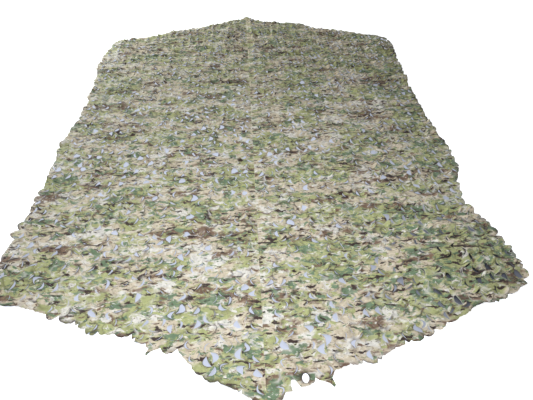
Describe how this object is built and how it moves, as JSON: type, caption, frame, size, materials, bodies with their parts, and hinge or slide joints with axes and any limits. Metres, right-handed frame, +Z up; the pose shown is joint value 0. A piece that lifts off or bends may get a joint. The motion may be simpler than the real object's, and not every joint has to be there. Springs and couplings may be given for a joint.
{
  "type": "camouflage net",
  "caption": "Leaf-cut camouflage net laid flat: two widths of printed cloth joined by a lapped middle seam, with leafy edges and slit gaps.",
  "frame": {"origin": "centre of the net's box on the ground", "axes": "+Y along the middle seam towards the far end, +X to the right, +Z up"},
  "size_m": [3.0449, 4.871, 0.044],
  "materials": {
    "printed_cloth": null
  },
  "bodies": {
    "root": {"cloth_width_left": "printed_cloth", "cloth_width_right": "printed_cloth"}
  },
  "joints": []
}
